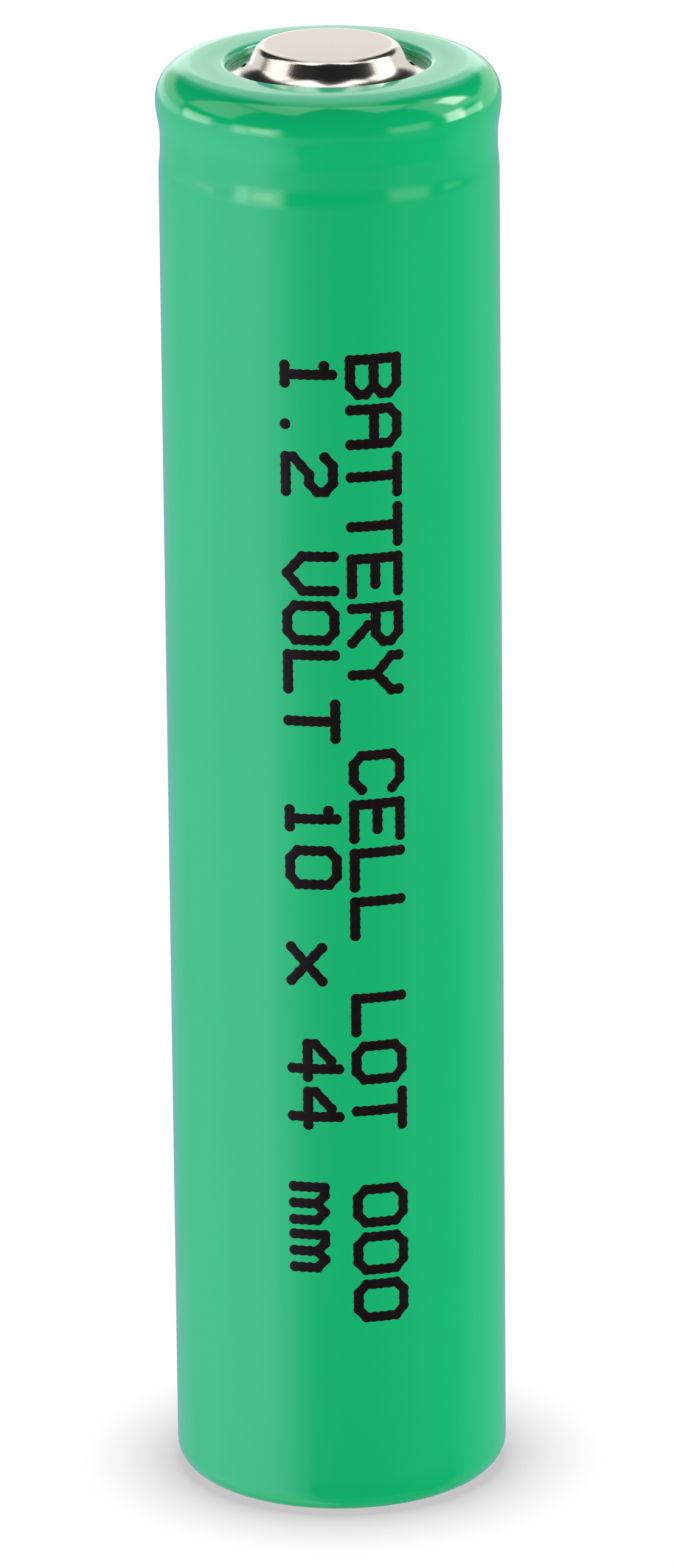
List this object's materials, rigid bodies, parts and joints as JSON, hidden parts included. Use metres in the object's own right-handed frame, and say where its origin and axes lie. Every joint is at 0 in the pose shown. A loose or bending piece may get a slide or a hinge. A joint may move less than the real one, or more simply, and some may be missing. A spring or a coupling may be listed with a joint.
{
  "type": "cylindrical battery cell",
  "caption": "Slim rechargeable round cell: flat low positive button, crimped shoulder and shrink sleeve over a steel can with a wound electrode roll and a resealable vent.",
  "frame": {"origin": "centre of the negative contact face, on the plane the cell stands on", "axes": "+Z along the cell's axis towards the positive terminal, -Y the front"},
  "size_m": [0.0102, 0.0102, 0.0443],
  "materials": {
    "sleeve_film": "glossy green PVC shrink film",
    "print_ink": "black ink-jet print",
    "insulating_board": "matte white fibre board",
    "nickel_plated_steel": "satin nickel plate over drawn steel",
    "terminal_nickel": "fine-grained nickel plate",
    "vent_rubber": "black EPDM rubber",
    "gasket_nylon": "natural nylon",
    "sealant_bitumen": "dried bitumen sealant",
    "lead_nickel": "rolled nickel strip",
    "insulating_tape": "polyester tape",
    "insulator_sheet": "white polypropylene sheet",
    "separator_felt": "white polyolefin felt",
    "positive_paste": "nickel hydroxide paste in nickel foam",
    "negative_alloy": "hydrogen-storage alloy powder on a strip"
  },
  "bodies": {
    "cell": {"shrink_sleeve": "sleeve_film", "top_washer": "insulating_board", "steel_can": "nickel_plated_steel", "terminal_cap": "terminal_nickel", "lid_plate": "nickel_plated_steel", "sealing_gasket": "gasket_nylon", "sealant_film": "sealant_bitumen", "lead_tab": "lead_nickel", "lead_tape": "insulating_tape", "collector_disc": "lead_nickel", "upper_insulator": "insulator_sheet", "lower_insulator": "insulator_sheet", "inner_separator": "separator_felt", "outer_separator": "separator_felt", "positive_electrode": "positive_paste", "negative_electrode": "negative_alloy", "edge_ribbon": "lead_nickel"},
    "vent": {"vent_plug": "vent_rubber"}
  },
  "joints": [
    {"name": "vent_lift", "type": "slide", "parent": "cell", "child": "vent", "axis": [0, 0, 1], "range_m": [0, 0.00015], "stiffness_N_per_m": 13000, "springref_m": -0.00012, "deforming": ["vent_plug"]}
  ]
}
